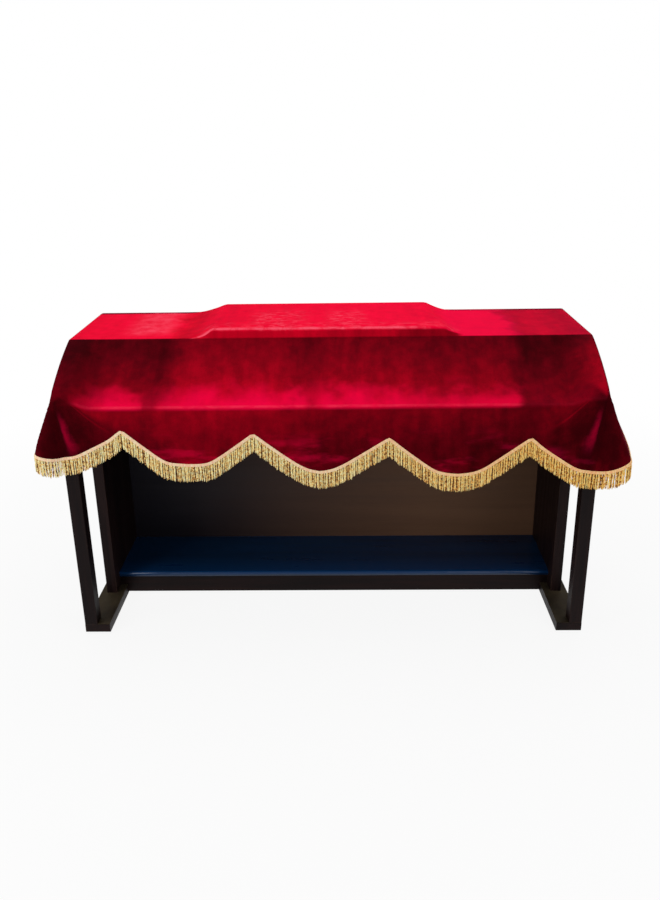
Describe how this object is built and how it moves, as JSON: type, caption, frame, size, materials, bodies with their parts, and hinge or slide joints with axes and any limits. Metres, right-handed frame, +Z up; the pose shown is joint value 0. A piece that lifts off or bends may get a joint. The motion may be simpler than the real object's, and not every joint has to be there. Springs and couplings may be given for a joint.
{
  "type": "communion table",
  "caption": "Dark wooden communion table with end frames, a sloping front and a low shelf, under a scalloped crimson velvet cloth with gold bullion fringe.",
  "frame": {"origin": "middle of the footprint at floor level, under the centre of the whole table with its cloth", "axes": "+X along the table to the right as seen from the front, +Y from the front ledge to the back, +Z up"},
  "size_m": [1.6878, 0.6516, 0.9],
  "materials": {
    "espresso": "espresso stain under satin lacquer",
    "shelf_finish": "blue-black satin lacquer",
    "back_veneer": "brown veneer, low sheen",
    "secondary_wood": "unfinished hardwood",
    "glide_nylon": "dark nylon",
    "bolt_steel": "zinc plated",
    "velvet": "crimson cotton velvet with a short pile",
    "gold_braid": "woven gold heading",
    "gold_bullion": "twisted gold bullion cords"
  },
  "bodies": {
    "table": {"left_runner": "espresso", "right_runner": "espresso", "left_front_leg": "espresso", "right_front_leg": "espresso", "left_side_panel": "espresso", "right_side_panel": "espresso", "left_cheek": "espresso", "right_cheek": "espresso", "floor_glides": "glide_nylon", "cheek_dowels": "secondary_wood", "front_apron": "espresso", "ledge_board": "espresso", "ledge_bearer": "espresso", "slope_board": "espresso", "slope_cleats": "secondary_wood", "deck_board": "espresso", "deck_front_bearer": "espresso", "corner_blocks": "secondary_wood", "back_panel": "back_veneer", "back_top_rail": "espresso", "back_bottom_rail": "espresso", "back_muntin": "espresso", "shelf_board": "shelf_finish", "shelf_front_rail": "espresso", "shelf_bearers": "secondary_wood", "shelf_end_cleats": "secondary_wood", "riser_board": "espresso", "riser_battens": "secondary_wood", "connector_bolts": "bolt_steel", "barrel_nuts": "bolt_steel"},
    "cloth": {"velvet_cloth": "velvet", "fringe_heading": "gold_braid", "fringe_skirt": "gold_bullion"}
  },
  "joints": [
    {"name": "cloth_lift", "type": "slide", "parent": "table", "child": "cloth", "axis": [0, 0, 1], "range_m": [0, 0.43]}
  ]
}
